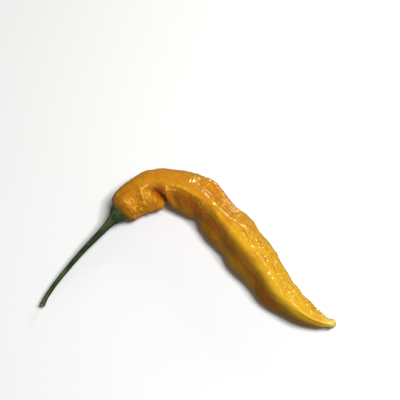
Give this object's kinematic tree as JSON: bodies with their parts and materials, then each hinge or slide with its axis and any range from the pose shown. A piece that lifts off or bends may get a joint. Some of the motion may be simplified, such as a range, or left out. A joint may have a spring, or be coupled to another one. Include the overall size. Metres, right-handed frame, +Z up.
{
  "type": "sugar rush peach pepper",
  "caption": "Long, slim, wrinkled peach-yellow hot pepper with a buckled neck, lying on its side with its green calyx and long curved stem.",
  "frame": {"origin": "on the surface that the pepper lies on, under the middle of its bounding box", "axes": "+X runs from the stem's cut end to the pod's tip, +Y away from the viewer towards the outside of the bend, +Z up from the surface"},
  "size_m": [0.1193, 0.0686, 0.0166],
  "materials": {
    "skin": "gloss",
    "green_stalk": "satin"
  },
  "bodies": {
    "root": {"pod": "skin", "stalk": "green_stalk"}
  },
  "joints": []
}
